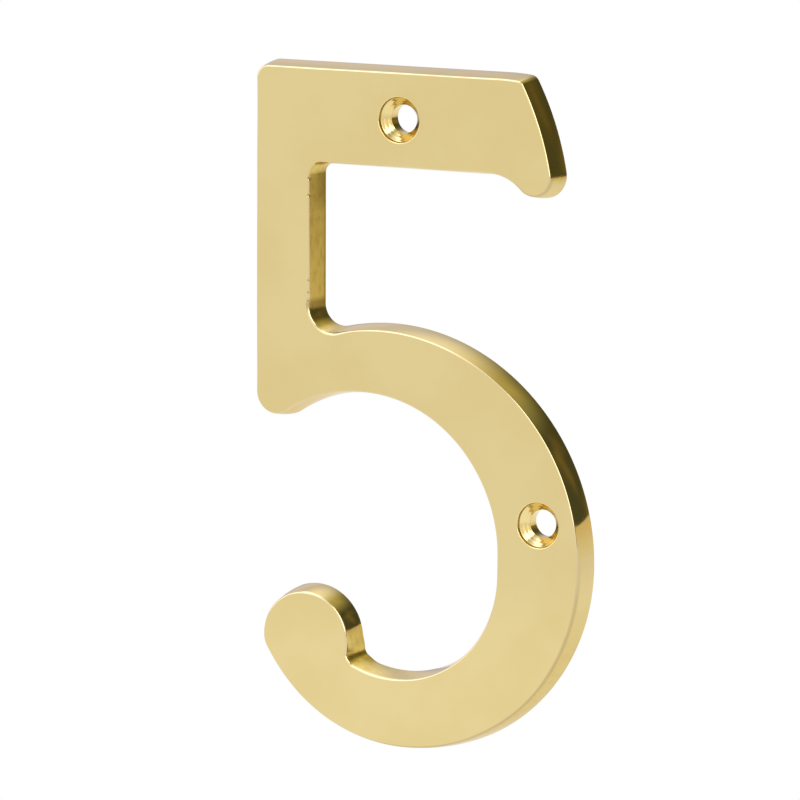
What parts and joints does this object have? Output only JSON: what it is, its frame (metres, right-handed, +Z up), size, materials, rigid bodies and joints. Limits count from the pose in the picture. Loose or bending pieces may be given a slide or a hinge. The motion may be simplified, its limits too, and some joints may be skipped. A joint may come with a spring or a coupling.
{
  "type": "door number",
  "caption": "Polished cast brass door numeral, a figure five with a hooked top bar, a ball-ended bowl, sloping side walls and countersunk screw holes.",
  "frame": {"origin": "where the axis of the upper screw hole meets the back face, which lies on the door", "axes": "+Z up the figure, +X to the right as it is read, +Y into the door, so the front face looks along -Y"},
  "size_m": [0.055, 0.0042, 0.1016],
  "materials": {
    "brass": "polished"
  },
  "bodies": {
    "root": {"numeral": "brass"}
  },
  "joints": []
}
